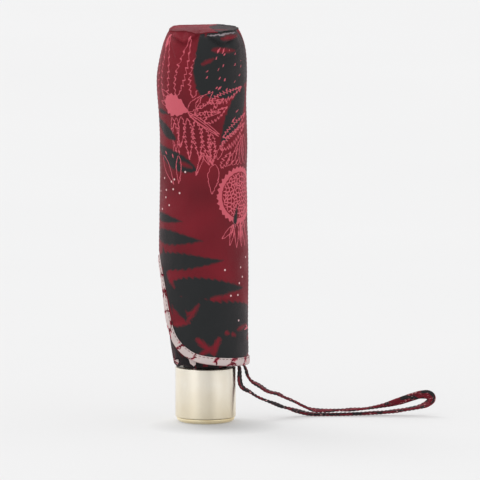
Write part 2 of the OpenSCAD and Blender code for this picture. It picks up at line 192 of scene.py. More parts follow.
def fillet(points, radius, steps=5):
    """A closed outline of (r, z) points with its corners rounded, but for those on the axis."""
    out = []
    for k, p in enumerate(points):
        here = Vector(p)
        back, ahead = Vector(points[k - 1]) - here, Vector(points[(k + 1) % len(points)]) - here
        cut = min(radius, back.length * 0.45, ahead.length * 0.45)
        if here.x == 0:
            out.append(here)
            continue
        start, stop = here + back.normalized() * cut, here + ahead.normalized() * cut
        for s in range(steps + 1):
            t = s / steps
            out.append((1 - t) ** 2 * start + 2 * t * (1 - t) * here + t * t * stop)
    return out


def lathe(name, outline, radius, segments=144):
    """Turned part from a closed outline of (r, z), corners rounded to radius."""
    verts, faces, rings = [], [], []
    for p in fillet(outline, radius):
        ring = [polar(p.x, 360 * s / segments, p.y) for s in range(segments if p.x else 1)]
        # a ring on the axis is one vertex, used by every segment
        rings.append([len(verts) + (s if p.x else 0) for s in range(segments)])
        verts += ring
    for a, b in zip(rings, rings[1:] + rings[:1]):
        for s in range(segments):
            n = (s + 1) % segments
            corners = tuple(dict.fromkeys((b[s], b[n], a[n], a[s])))
            if len(corners) > 2:
                faces.append(corners)
    return make_object(name, verts, faces)


def place(obj, body, material, stands_for=()):
    """Gives a new piece its material and body, and hides the CAD nodes it stands for."""
    obj.data.materials.append(material)
    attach(obj, body)
    if stands_for:
        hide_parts(*stands_for)
    return obj


# -------- shader graphs


class Value:
    """A node's output that can stand in a sum. Each operation adds a maths node to its graph."""

    def __init__(self, graph, socket):
        self.graph, self.socket = graph, socket

    def __add__(self, other):
        return self.graph.math("ADD", self, other)

    def __radd__(self, other):
        return self.graph.math("ADD", other, self)

    def __sub__(self, other):
        return self.graph.math("SUBTRACT", self, other)

    def __rsub__(self, other):
        return self.graph.math("SUBTRACT", other, self)

    def __mul__(self, other):
        return self.graph.math("MULTIPLY", self, other)

    def __truediv__(self, other):
        return self.graph.math("DIVIDE", self, other)

    def __abs__(self):
        return self.graph.math("ABSOLUTE", self)


class Graph:
    """Short calls that build a node tree."""

    def __init__(self, tree):
        self.tree = tree

    def feed(self, node, inputs):
        """Links or sets a node's inputs, given by name or number."""
        for key, value in inputs.items():
            if isinstance(value, Value):
                self.tree.links.new(value.socket, node.inputs[key])
            elif value is not None:
                node.inputs[key].default_value = value

    def node(self, kind, inputs=None, **settings):
        made = self.tree.nodes.new("ShaderNode" + kind)
        for key, value in settings.items():
            setattr(made, key, value)
        self.feed(made, inputs or {})
        return made

    def make(self, kind, inputs=None, pick=0, **settings):
        """The picked output of a new node."""
        return Value(self, self.node(kind, inputs, **settings).outputs[pick])

    def math(self, operation, *values, clamp=False):
        return self.make("Math", dict(enumerate(values)), operation=operation, use_clamp=clamp)

    def edge(self, depth, crisp, middle=0.5):
        """0 to 1 across an edge: middle where depth is 0, rising by crisp a unit."""
        return self.math("MULTIPLY_ADD", depth, crisp, middle, clamp=True)

    def length(self, x, y):
        return self.math("SQRT", x * x + y * y)

    def mix(self, factor, low, high, blend="MIX"):
        return self.make("Mix", {0: factor, 6: low, 7: high}, 2, data_type="RGBA", blend_type=blend)

    def noise(self, vector, scale, detail=2.0):
        return self.make("TexNoise", {"Vector": vector, "Scale": scale, "Detail": detail})

    def ramp(self, value, low, high, to_low=0.0, to_high=1.0):
        return self.make("MapRange", dict(enumerate((value, low, high, to_low, to_high))))

    def split(self, vector):
        return [Value(self, socket) for socket in self.node("SeparateXYZ", {0: vector}).outputs]

    def join(self, x, y, z=0.0):
        return self.make("CombineXYZ", {0: x, 1: y, 2: z})

    def stretch(self, vector, by_x, by_y, by_z):
        x, y, z = self.split(vector)
        return self.join(x * by_x, y * by_y, z * by_z)

    def distance(self, vector, point):
        return self.make("VectorMath", {0: vector, 1: point}, "Value", operation="DISTANCE")

    def bump(self, height, strength, distance, normal=None):
        return self.make("Bump", {"Strength": strength, "Distance": distance, "Height": height,
                                  "Normal": normal})

    def cloth(self):
        """Coordinates on the cloth, in millimetres."""
        return self.make("UVMap", uv_map="cloth")

    def metres(self):
        """Coordinates on the object, in metres."""
        return self.make("TexCoord", pick="Object")


def rgb(r, g, b):
    """Scene colour from 0-255 screen values."""
    def linear(c):
        c /= 255
        return c / 12.92 if c <= 0.04045 else ((c + 0.055) / 1.055) ** 2.4
    return (linear(r), linear(g), linear(b), 1.0)


def shaded(colour, by, lift=0.0):
    """A colour made darker or lighter."""
    return [c * by + lift for c in colour[:3]] + [1]


def new_material(name):
    """(material, graph, shader) with a bare Principled shader."""
    material = bpy.data.materials.new(name)
    material.use_nodes = True
    return material, Graph(material.node_tree), material.node_tree.nodes["Principled BSDF"]


def new_group(name, inputs, outputs):
    """A shader group, its graph, its inputs and its output node; sockets are given as kind: names."""
    tree = bpy.data.node_groups.new(name, "ShaderNodeTree")
    for way, sockets in (("INPUT", inputs), ("OUTPUT", outputs)):
        for kind, names in sockets.items():
            for n in names.split():
                tree.interface.new_socket(n, in_out=way, socket_type="NodeSocket" + kind)
    graph = Graph(tree)
    sockets = tree.nodes.new("NodeGroupInput").outputs
    given = SimpleNamespace(**{s.name: Value(graph, s) for s in sockets if s.name})
    return tree, graph, given, tree.nodes.new("NodeGroupOutput")


# -------- the print

CRIMSON = rgb(128, 30, 42)
CRIMSON_DEEP = rgb(108, 26, 36)
LEAF_DARK = rgb(40, 43, 44)
PINK = rgb(214, 98, 112)
# pale ink for a painted highlight along a fold
PALE = rgb(238, 200, 200)
FOLD_HIGHLIGHT_INK = rgb(150, 140, 144)
BLACK = (0, 0, 0, 1)

FILLED, FILLED_RED, FILLED_PINK, FOLD_HIGHLIGHT, OUTLINED = range(5)
# Each style's ink and how crisp its edges are
INKS = {FILLED: (LEAF_DARK, 0.75), FILLED_RED: (CRIMSON, 0.45), FILLED_PINK: (PINK, 6.0),
        FOLD_HIGHLIGHT: (FOLD_HIGHLIGHT_INK, 3.0), OUTLINED: (PINK, 7.0)}
LINE = 0.23                             # half the width of a printed line
ALL_INSIDE = 99.0                       # a reach that takes in the whole of a filled leaf
LEAF_SWELL = 0.72                       # below 1, so a leaf is broadest nearer its root
TOP_PRINT = 300.0                       # where the top panel sits on the printed cloth, in y

# The print's leaves, with a few painted highlights among them, in the order they are painted: a style, then
# x, y, angle, length and half width, and the number and depth of the teeth where there are any. x runs
# round the cloth from the middle of the panel and y is the height, both in millimetres.
PRINT_LEAVES_AND_HIGHLIGHTS = [
    # tall outlined leaves at the top left
    (OUTLINED, [(-36.5, 196, 93, 42, 3.9, 10, 0.4), (-26, 195, 91, 43, 4.4, 11, 0.38),
        (-16.3, 199.5, 79, 38, 3.9, 10, 0.4), (-5.6, 199.5, 83, 36, 4.2, 10, 0.4)]),
    # a pink patch below the top-left corner, a painted highlight
    (FILLED_PINK, [(-29.5, 228.5, 74, 9, 2.2, 3, 0.3)]),
    # broad dark leaf at the top right with red bars and pink flecks
    (FILLED, [(15, 198.5, 88, 50, 21.5), (37, 207, 98, 36, 13), (0.5, 199.5, 92, 46, 5.2),
        (6, 199, 90, 46, 9), (-4, 206, 4, 44, 6.5), (-5, 226, 20, 44, 8)]),
    (FILLED_RED, [(-1, 219.5, 25, 9, 0.8), (5, 228.5, -4, 17, 1.2), (11, 235, 3, 19, 1.1)]),
    (FILLED_PINK, [(9, 226.5, 60, 4.2, 0.55), (12, 226, 62, 4, 0.5), (9.8, 204.2, 45, 3.4, 0.5)]),
    # toothed outlined leaves that spread from the stem
    (OUTLINED, [(-9, 191, 48, 14, 2.4), (-5, 189.5, 27, 21, 3.4, 8, 0.5), (1, 184.5, 31, 18, 3.2, 8, 0.5),
        (-4, 193, 44, 15, 2.8), (-8, 188, 8, 20, 2.2, 6, 0.45), (4, 196.5, 19, 26, 3.4, 12, 0.6),
        (-8.5, 189.5, -36, 23, 1.0), (-9, 190.5, -34, 24, 1.4), (-13.5, 188, -94, 19, 2.8, 5, 0.45),
        (-9.5, 187, -88, 25, 3.3, 9, 0.5), (-4.5, 186, -84, 24, 3.3, 9, 0.5),
        (0.5, 182, -80, 22, 3.3, 8, 0.5), (5, 178, -86, 18, 2.8, 7, 0.5),
        (-20.5, 187, -80, 26, 2.8, 8, 0.45), (-17, 187, -97, 24, 2.4), (-31, 196, -14, 14, 1.6, 2, 0.3),
        (-30, 203, -25, 16, 1.6)]),
    # dark leaves on the left and right
    (FILLED, [(-18, 173.5, 152, 28, 3.8, 7, 0.12), (-38, 190.5, -6, 15, 1.6, 4, 0.15),
        (-4, 155.5, 160, 42, 5.6, 8, 0.1)]),
    (FILLED_RED, [(-16, 160.3, -18, 10, 1.1)]),
    (FILLED_PINK, [(-28.5, 166, -50, 2.6, 0.5), (-21.5, 165, -70, 3, 0.45)]),
    (FILLED, [(33, 205, -122, 42, 7.6, 9, 0.1)]),
    (FILLED_PINK, [(19.6, 184, 42, 5, 0.55), (23, 190, 20, 3.4, 0.5)]),
    # hanging outlined leaves on the left, a pointed one in the middle
    (OUTLINED, [(-31, 163, -56, 20, 2.6), (-16.3, 164, -89, 17, 1.8), (0.5, 166.5, -111, 15, 1.0),
        (-1, 166.5, -58, 9, 0.8), (7, 159.5, -95, 18.5, 3.5), (5.5, 173, -90, 14, 3.0, 5, 0.6)]),
    # comb-like strokes and a fan above the seed head
    (OUTLINED, [(11, 168, 33, 27, 4.0, 12, 0.6), (13, 175, 32, 26, 3.2, 11, 0.6), (20, 158, 62, 18, 2.8),
        (24, 158, 74, 18, 2.8), (28, 158, 84, 18, 2.8), (33, 158, 94, 18, 2.8),
        (11, 157, 50, 12, 2.6, 5, 0.6), (9, 162, 70, 12, 1.6), (15, 158, 44, 14, 2.0)]),
    # a solid thistle-like flower
    (FILLED_PINK, [(-26.5, 197, -18, 19, 7.6, 5, 0.24)]),
    # a painted highlight along the fold at the front of the top
    (FOLD_HIGHLIGHT, [(2.5, 236.8, 3, 27, 0.4)]),
    # the dark part of the top panel, and on it a red bar that is a painted highlight where light catches the
    # dark cloth
    (FILLED, [(2, TOP_PRINT, 0, 60, 40)]),
    (FILLED_RED, [(4, TOP_PRINT - 13, 12, 12, 1.4)]),
]
FLECK_GAP, FLECK_REACH = 6.5, 16.5
FLECK_MIDDLE = (14.5, 212, 0)
SEED_HEAD = {"X": 26, "Y": 139.5, "Radius": 17.4}
AFTER_HEAD = [
    # a dark petal and pink ones over the seed head
    (FILLED, [(20.5, 119, 76, 15, 1.5)]),
    (OUTLINED, [(27, 120, 62, 14, 2.2, 4, 0.3), (31, 119, 80, 15, 2.2, 4, 0.3)]),
    # petals under the seed head
    (OUTLINED, [(20, 121, -140, 11, 1.5), (20, 122, -103, 13, 1.7, 2, 0.2), (23, 123, -92, 15, 1.9, 2, 0.2),
        (26.5, 123, -86, 15, 1.9, 2, 0.2), (30, 123, -80, 15, 1.9, 2, 0.2), (34, 123, -75, 15, 1.9)]),
    (FILLED_PINK, [(21, 123, -112, 9, 0.8, 2, 0.3), (27, 123, -90, 12, 1.2, 2, 0.3)]),
    # dark fern fingers from the left
    (FILLED, [(-42, 126.3, -4, 29, 3.0, 7, 0.12), (-43, 114.8, -2.5, 43, 4.9, 9, 0.13),
        (-42, 99, 2, 55, 5.8, 13, 0.15), (-25, 84.5, -1.5, 55, 7.4, 14, 0.16),
        (-31, 108, -76, 42, 3.4, 9, 0.2)]),
    # dark mass above the hem
    (FILLED, [(-22, 76, -6, 40, 5.5, 10, 0.2), (-12, 64, 7, 54, 10, 13, 0.16),
        (-24, 56, -2, 60, 9, 13, 0.2), (-22, 45, 1, 80, 8.5, 15, 0.2), (14, 60, 6, 34, 13, 8, 0.16),
        (-27, 66, -62, 34, 5.5, 8, 0.2), (-25, 86, -56, 28, 4.8, 6, 0.2)]),
    # crimson gaps in the dark mass
    (FILLED_RED, [(-25.5, 93, -55, 12, 1.4, 3, 0.4), (-10.5, 63.5, 55, 14, 1.6, 3, 0.4),
        (-21, 61.5, 8, 13, 1.7, 3, 0.3), (4, 77.5, 10, 10, 1.3, 4, 0.5), (12, 78.5, 12, 12, 1.5, 4, 0.5),
        (-5, 54, -42, 15, 2.0, 3, 0.4), (10, 54.5, -118, 12, 1.8, 3, 0.4), (-3, 43, 35, 12, 1.6, 3, 0.4),
        (6, 43, 76, 9, 1.3, 3, 0.4), (13, 57.5, -30, 4, 1.0), (17.5, 56, -20, 4, 0.9),
        (22, 58, 10, 13, 1.2, 4, 0.5)]),
    (FILLED_PINK, [(30, 57.3, 4, 9, 0.6), (33, 60, -30, 7, 0.5)]),
]
# Pale seed dots: x, y
PRINT_DOTS = [(-29.5, 149.5), (-22, 148), (-19.5, 149.5), (-27, 142.5), (-20.5, 143.5), (-15.5, 141.5),
              (-27.5, 138), (-24, 133.5), (-32, 130.5), (-11.5, 154.5), (13.5, 95), (27, 95.5), (29, 89.5),
              (25.5, 86), (18, 79), (24, 79), (24, 63.5), (-36, 141), (34, 101)]
DOT_RADIUS = 0.6


def leaf_group():
    """Prints one leaf with toothed edges over a colour: its ink reaches Grow outside the leaf's edge and
    Core inside it, in cloth millimetres."""
    tree, g, given, made = new_group(
        "printed_leaf",
        {"Vector": "Cloth", "Color": "Under Ink",
         "Float": "X Y Angle Length Width Teeth Depth Grow Core Crisp"},
        {"Color": "Colour"})
    x, y, _ = g.split(given.Cloth)
    dx = x - given.X
    dy = y - given.Y
    c = g.math("COSINE", given.Angle)
    s = g.math("SINE", given.Angle)
    along = dx * c + dy * s
    side = abs(dy * c - dx * s)
    t = along / given.Length
    inside = g.math("LESS_THAN", abs(t - 0.5), 0.5)
    envelope = g.math("SINE", g.math("POWER", g.math("MAXIMUM", t, 0.0), LEAF_SWELL) * pi)
    sweep = side / g.math("MAXIMUM", given.Width, 0.01)
    tooth = g.math("PINGPONG", given.Teeth * t + sweep, 0.5)
    reach = given.Width * envelope * (1.0 - tooth * 2.0 * given.Depth)
    # teeth slope the edge, so distances to it shrink by the slope
    slope = given.Width * given.Depth * (given.Teeth * 2.0 / given.Length)
    field = (reach - side) / g.math("SQRT", slope * slope + 1.0)
    depth = g.math("MINIMUM", given.Grow + field, given.Core - field)
    cover = g.edge(depth, given.Crisp) * inside
    g.feed(made, {"Colour": g.mix(cover, given.Under, given.Ink)})
    return tree


def seed_head_group():
    """A round seed head: a scalloped rim, the disc it takes up and a field of small scales."""
    tree, g, given, made = new_group(
        "printed_seed_head", {"Vector": "Cloth", "Float": "X Y Radius"}, {"Float": "Rim Disc Scales"})
    x, y, _ = g.split(given.Cloth)
    dx = x - given.X
    dy = y - given.Y
    rho = g.length(dx, dy) / given.Radius
    scallop = g.math("PINGPONG", g.math("ARCTAN2", dy, dx) * 5.0, 0.5)
    disc = g.edge(0.94 + scallop * 0.16 - rho, 60.0)
    hole = g.edge(0.81 - rho, 60.0)
    cells = g.make("TexVoronoi", {"Vector": given.Cloth, "Scale": 0.42}, "Distance",
                   feature="DISTANCE_TO_EDGE", voronoi_dimensions="2D")
    lines = g.edge(0.15 - cells, 14.0)
    field = g.edge(0.77 - rho, 60.0)
    g.feed(made, {"Rim": disc * (1.0 - hole), "Disc": disc, "Scales": lines * field})
    return tree


def leaf_nodes(g, leaf, cloth, colour, leaves):
    """Paints the listed leaves over colour, in order."""
    for style, shapes in leaves:
        ink, crisp = INKS[style]
        grow, core = (LINE, LINE) if style == OUTLINED else (0.0, ALL_INSIDE)
        for x, y, angle, length, width, *toothed in shapes:
            teeth, depth = toothed or (1, 0)
            colour = g.make("Group", {
                "Cloth": cloth, "Under": colour, "Ink": ink, "X": x, "Y": y, "Angle": radians(angle),
                "Length": length, "Width": width, "Teeth": teeth, "Depth": depth, "Grow": grow, "Core": core,
                "Crisp": crisp}, node_tree=leaf)
    return colour


def fleck_cover(g, cloth):
    """Short slanted flecks scattered over the broad dark leaf."""
    cell = g.make("TexVoronoi", {"Vector": cloth, "Scale": 1 / FLECK_GAP, "Randomness": 0.7}, "Position",
                  voronoi_dimensions="2D")
    dx, dy, _ = g.split(g.make("VectorMath", {0: cloth, 1: cell}, operation="SUBTRACT"))
    far = g.length(dx * 0.45 + dy * 0.6, dx * 1.9 - dy * 1.5)
    near = g.math("LESS_THAN", g.distance(cloth, FLECK_MIDDLE), FLECK_REACH)
    return g.edge(0.7 - far, 4.0) * near


def print_group():
    """The all-over botanical print, with a few painted highlights among its leaves, as a colour for each
    point of the cloth in millimetres.
    """
    tree, g, given, made = new_group("botanical_print", {"Vector": "Cloth"}, {"Color": "Colour"})
    wander = g.noise(given.Cloth, 0.5)
    x, y, _ = g.split(given.Cloth)
    shaky = (wander - 0.5) * 1.6
    cloth = g.join(x + shaky, y - shaky)
    leaf = leaf_group()
    ground = g.mix(g.ramp(g.noise(given.Cloth, 0.03, 1.0), 0.35, 0.65), CRIMSON_DEEP, CRIMSON)
    colour = leaf_nodes(g, leaf, cloth, ground, PRINT_LEAVES_AND_HIGHLIGHTS)
    colour = g.mix(fleck_cover(g, cloth), colour, PINK)
    head = g.node("Group", {"Cloth": cloth, **SEED_HEAD}, node_tree=seed_head_group())
    for part, ink in (("Disc", CRIMSON), ("Scales", PINK), ("Rim", PINK)):
        colour = g.mix(Value(g, head.outputs[part]), colour, ink)
    colour = leaf_nodes(g, leaf, cloth, colour, AFTER_HEAD)
    for dot in PRINT_DOTS:
        colour = g.mix(g.edge(DOT_RADIUS - g.distance(given.Cloth, (*dot, 0)), 6.0), colour, PALE)
    g.feed(made, {"Colour": colour})
    return tree


# -------- materials

MARK_GAP = 12.0                         # from one mark on the binding tape to the next


def cloth_finish(g, shader, cloth, colour, per_mm, crumple, roughness, sheen):
    """Plain weave, fine crumple and sheen of woven polyester."""
    x, y, _ = g.split(cloth)
    height = g.math("SINE", x * (tau * per_mm)) * g.math("SINE", y * (tau * per_mm))
    fine = g.bump(height, 0.35, 0.00012)
    g.feed(shader, {"Normal": g.bump(g.noise(cloth, crumple, 3.0), 0.5, 0.0006, fine),
                    "Base Color": g.mix(g.ramp(height, -1.0, 1.0) * 0.16, colour, BLACK),
                    "Roughness": g.ramp(g.noise(cloth, 0.12), 0.3, 0.7, roughness - 0.05, roughness + 0.07),
                    "Sheen Weight": sheen, "Sheen Roughness": 0.5, "Sheen Tint": (0.7, 0.16, 0.22, 1),
                    "Specular IOR Level": 0.13})


def printed_cloth(name, group, shade=1.0, roughness=0.5):
    """Printed satin-faced polyester; shade, below 1, darkens the whole print as painted shade, for bunched
    cloth that sits in shadow.
    """
    material, g, shader = new_material(name)
    uv = g.cloth()
    colour = g.make("Group", {0: uv}, node_tree=group)
    if shade < 1:
        # painted shade over the whole print
        colour = g.mix(1.0, colour, (shade, shade * 0.92, shade, 1), "MULTIPLY")
    cloth_finish(g, shader, uv, colour, 2.2, 0.09, roughness, 0.08)
    return material


def binding_cloth():
    """Pale tape with broken crimson and pink arrow marks; cloth x runs along it, y across it."""
    material, g, shader = new_material("binding_fabric")
    uv = g.cloth()
    x, y, _ = g.split(uv)
    wander = (g.noise(uv, 0.22) - 0.5) * 7.0
    lean = g.ramp(g.noise(uv, 0.07, 0.0), 0.42, 0.58, -1.3, 1.5)
    phase = g.math("PINGPONG", x + wander + abs(y - 0.3) * lean, MARK_GAP / 2)
    mark = g.edge(1.0 - phase, 4.0)
    halo = g.edge(2.2 - phase, 1.2, 0.3)
    torn = g.ramp(g.noise(uv, 0.8), 0.36, 0.42)
    ground = g.mix(g.noise(uv, 0.1, 1.0), rgb(224, 210, 206), rgb(206, 190, 188))
    colour = g.mix(halo * g.ramp(g.noise(uv, 0.35, 1.0), 0.45, 0.6), ground, rgb(200, 92, 108))
    colour = g.mix(mark * torn, colour, rgb(104, 14, 32))
    # a dark line along the outer fold
    colour = g.mix(g.edge(y + 2.0, -4.0, 0.0) * 0.55, colour, rgb(120, 40, 54))
    cloth_finish(g, shader, uv, colour, 2.0, 0.2, 0.6, 0.2)
    return material


def strap_cloth(name):
    """Printed ribbon cut across the print: short runs of crimson and dark with a few pale flecks."""
    material, g, shader = new_material(name)
    uv = g.cloth()
    x, y, _ = g.split(uv)
    stretched = g.join(x * 0.6, y * 0.4)
    # y falls along the ribbon: dark near the handle, more crimson at the loop's end
    bias = g.ramp(y, 60.0, 220.0, -0.05, 0.08)
    patch = g.ramp(g.noise(stretched, 0.3, 1.0) + bias, 0.5, 0.53)
    colour = g.mix(patch, g.mix(g.noise(uv, 0.08, 1.0), rgb(96, 24, 34), rgb(134, 34, 48)), LEAF_DARK)
    fleck = g.ramp(g.noise(stretched, 1.6), 0.62, 0.65) * g.ramp(g.noise(uv, 0.09, 1.0), 0.47, 0.5)
    colour = g.mix(fleck, colour, rgb(206, 150, 150))
    cloth_finish(g, shader, uv, colour, 2.2, 0.15, 0.55, 0.06)
    return material


def thread(name, colour):
    """Twisted sewing thread."""
    material, g, shader = new_material(name)
    strands = g.make("TexWave", {"Vector": g.metres(), "Scale": 1500}, 1, bands_direction="DIAGONAL")
    g.feed(shader, {"Base Color": g.mix(strands, colour, shaded(colour, 0.7)),
                    "Normal": g.bump(strands, 0.4, 0.0001), "Roughness": 0.55})
    return material


def polished_metal(name, colour, tint, roughness, grain, streak=0.0, foot=None):
    """Polished plated metal with a faint turned grain and small scuffs; foot, where given, is painted shade
    that turns the colour warmer and darker towards the foot, for the shadowed floor it reflects.
    """
    material, g, shader = new_material(name)
    where = g.metres()
    lines = g.noise(g.stretch(where, 40, 40, 9000), 1.0)
    smudge = g.noise(where, 90, 3.0)
    scuffs = g.ramp(g.noise(where, 700, 4.0), 0.62, 0.72)
    plating_with_foot_shade = g.mix(g.ramp(smudge, 0.35, 0.7), colour, tint)
    if foot:
        # painted shade: the colour turns warmer and darker towards the foot, for the shadowed floor it
        # reflects
        plating_with_foot_shade = g.mix(g.ramp(g.split(where)[2], 0.024, 0.003), plating_with_foot_shade, foot, "MULTIPLY")
    g.feed(shader, {"Base Color": plating_with_foot_shade, "Metallic": 1.0,
                    "Roughness": g.ramp(smudge, 0.3, 0.7, roughness, roughness + 0.05) + scuffs * 0.08,
                    "Normal": g.bump(lines, grain, 0.00002)})
    if streak:
        # fine turning marks run round the part, so reflections stretch along its height
        g.feed(shader, {"Anisotropic": streak, "Anisotropic Rotation": 0.25,
                        "Tangent": g.make("Tangent", direction_type="RADIAL", axis="Z")})
    return material


def moulded_plastic(name, colour, roughness):
    """Fine-textured moulded plastic with lightly worn high spots."""
    material, g, shader = new_material(name)
    where = g.metres()
    wear = g.ramp(g.noise(where, 160), 0.4, 0.7)
    g.feed(shader, {"Base Color": g.mix(wear, colour, shaded(colour, 1.5, 0.004)),
                    "Roughness": g.ramp(wear, 0, 1, roughness, roughness - 0.12),
                    "Normal": g.bump(g.noise(where, 1800, 3.0), 0.25, 0.00005)})
    return material


def painted_tube(name, colour):
    """Glossy stoved paint with a fine orange peel and rubbed lines along the travel."""
    material, g, shader = new_material(name)
    where = g.metres()
    rubbed = g.ramp(g.noise(g.stretch(where, 2500, 2500, 25), 1.0), 0.62, 0.7)
    g.feed(shader, {"Base Color": g.mix(rubbed * 0.5, colour, rgb(120, 120, 124)),
                    "Normal": g.bump(g.noise(where, 900, 1.0), 0.1, 0.00005),
                    "Roughness": 0.28, "Coat Weight": 0.5, "Coat Roughness": 0.1})
    return material


def hook_tape():
    """Black hook-and-loop tape: rows of tiny hooks."""
    material, g, shader = new_material("hook_patch")
    hooks = g.make("TexVoronoi", {"Vector": g.metres(), "Scale": 1600}, "Distance")
    g.feed(shader, {"Base Color": g.mix(hooks, rgb(30, 30, 32), rgb(70, 70, 74)),
                    "Normal": g.bump(hooks, 0.8, 0.0003), "Roughness": 0.8})
    return material


# -------- camera, light and floor

VIEW_CENTRE = Vector((20.8, 0, 110.3)) * MM
VIEW_DOWN = radians(7.0)
VIEW_DISTANCE = 8.0
FRAME_WIDTH = 0.29                      # what the frame spans at the object
SENSOR = 36.0
# Each lamp's azimuth from the camera, elevation, power and spread
LAMPS = {"key": (-140, 52, 0.9, 30), "fill": (-30, 40, 0.25, 60)}
FLOOR_REACH = 14000                     # millimetres
SHADOW_RIGHT, SHADOW_FRONT = 0.006, 0.024       # the painted contact shadow's middle, in metres from the axis


def make_camera():
    data = bpy.data.cameras.new("camera")
    data.sensor_width = SENSOR
    data.lens = SENSOR * VIEW_DISTANCE / FRAME_WIDTH
    data.clip_start, data.clip_end = 0.1, 60
    camera = bpy.data.objects.new("camera", data)
    back = Vector((0, -cos(VIEW_DOWN), sin(VIEW_DOWN)))
    camera.location = VIEW_CENTRE + back * VIEW_DISTANCE
    camera.rotation_mode = "QUATERNION"
    camera.rotation_quaternion = (-back).to_track_quat("-Z", "Y")
    bpy.context.scene.collection.objects.link(camera)
    bpy.context.scene.camera = camera


def make_studio():
    """An even pale sky with broad panels, and two soft lamps."""
    scene = bpy.context.scene
    scene.view_settings.view_transform = "Standard"
    world = bpy.data.worlds.new("studio")
    world.use_nodes = True
    g = Graph(world.node_tree)
    x, _, z = g.split(g.make("TexCoord", pick="Generated"))
    # broad pale panels to the left and right of the camera, with greyer gaps between them
    above = g.ramp(z, 0.2, 0.9, 0.0, 0.55)
    panel = g.ramp(abs(abs(x) - 0.72), 0.08, 0.4, 1.0, 0.0)
    glow = 0.56 + above + panel * 0.55
    g.feed(world.node_tree.nodes["Background"], {"Color": g.join(glow, glow, glow * 1.005), "Strength": 0.9})
    scene.world = world
    for name, (azimuth, elevation, power, spread) in LAMPS.items():
        lamp = bpy.data.lights.new(name, "SUN")
        lamp.energy, lamp.angle = power, radians(spread)
        obj = bpy.data.objects.new(name, lamp)
        a, e = radians(azimuth), radians(elevation)
        away = Vector((sin(a) * cos(e), -cos(a) * cos(e), sin(e)))
        obj.rotation_mode = "QUATERNION"
        obj.rotation_quaternion = away.to_track_quat("Z", "Y")
        scene.collection.objects.link(obj)


def make_floor():
    """A wide disc whose sheet glows like a back-lit table, so shadows on it stay pale; its glow is weaker
    near the foot, a painted contact shadow.
    """
    rings, spokes = 24, 96
    verts = [(0, 0, 0)]
    for i in range(1, rings + 1):
        verts += [polar(FLOOR_REACH * (i / rings) ** 3, 360 * s / spokes) for s in range(spokes)]
    faces = [(0, 1 + s, 1 + (s + 1) % spokes) for s in range(spokes)]
    faces += [tuple(1 + v for v in f)[::-1] for f in grid(rings, spokes, True)]
    floor = make_object("floor", verts, faces)
    material, g, shader = new_material("floor")
    where = g.metres()
    tone = g.mix(g.noise(where, 3.0), (0.33, 0.33, 0.33, 1), (0.35, 0.35, 0.35, 1))
    across, along, _ = g.split(where)
    # painted contact shadow: the glow is weaker close to the handle's foot
    away = g.length(across - SHADOW_RIGHT, along + SHADOW_FRONT)
    g.feed(shader, {"Base Color": tone, "Emission Color": (1, 1, 1, 1), "Roughness": 0.75,
                    "Emission Strength": g.ramp(away, 0.006, 0.042, 0.18, 0.43), "Specular IOR Level": 0.2})
    floor.data.materials.append(material)


# -------- stitches

# One stitch: how far along it, its girth and how far it stands off the cloth, in radii
STITCH_SHAPE = ((0.0, 0.2, -0.6), (0.12, 0.9, 0.15), (0.5, 1.0, 0.5), (0.88, 0.9, 0.15), (1.0, 0.2, -0.6))
STITCH_SIDES = 6
# Rows of stitches: the length of a stitch, the gap to the next and its radius, in millimetres
STRAP_ROW = (1.6, 0.9, 0.13)
HEM_ROW = (1.7, 0.8, 0.15)
SEAM_ROW = (1.7, 1.0, 0.1)


def one_stitch(first, last, out, radius, base):
    """Vertices and faces of a small rounded stitch between two points; base is its first vertex's number."""
    across = (last - first).normalized().cross(out).normalized()
    verts = []
    for t, girth, lift in STITCH_SHAPE:
        centre = first.lerp(last, t) + out * lift * radius
        turns = [tau * s / STITCH_SIDES for s in range(STITCH_SIDES)]
        verts += [centre + (across * cos(w) + out * sin(w)) * radius * girth for w in turns]
    end = len(verts) - STITCH_SIDES
    faces = grid(len(STITCH_SHAPE), STITCH_SIDES, True)
    faces.append(tuple(reversed(range(STITCH_SIDES))))
    faces.append(tuple(range(end, len(verts))))
    return verts, [tuple(base + v for v in f) for f in faces]


def stitch_row(points, length, gap, radius):
    """Stitches along a line of (point, outward) pairs, lying on the surface."""
    verts, faces = [], []
    distance, want = 0.0, gap / 2
    start = None
    for (p, p_out), (q, q_out) in zip(points, points[1:]):
        piece = (q - p).length
        while distance + piece >= want:
            f = (want - distance) / piece
            here = p.lerp(q, f)
            if start is None:
                start = here
                want += length
                continue
            made = one_stitch(start, here, p_out.lerp(q_out, f).normalized(), radius, len(verts))
            verts += made[0]
            faces += made[1]
            start = None
            want += gap
        distance += piece
    return verts, faces


def join_rows(name, rows):
    """One mesh from several rows of stitches."""
    verts, faces = [], []
    for row_verts, row_faces in rows:
        base = len(verts)
        verts += row_verts
        faces += [tuple(base + i for i in f) for f in row_faces]
    return make_object(name, verts, faces, smooth_angle=0)


# -------- wrist strap

STRAP_RINGS = 5                         # rings of vertices from one point of the route to the next
LIMP_FROM, LIMP_OVER = 30, 20           # where in x the strap starts to waver, and over what it grows
STRAP_SEAM = 0.8                        # how far its stitches lie inside its edges
PRINT_TURN = 190                        # distance along the ribbon at which the print turns back


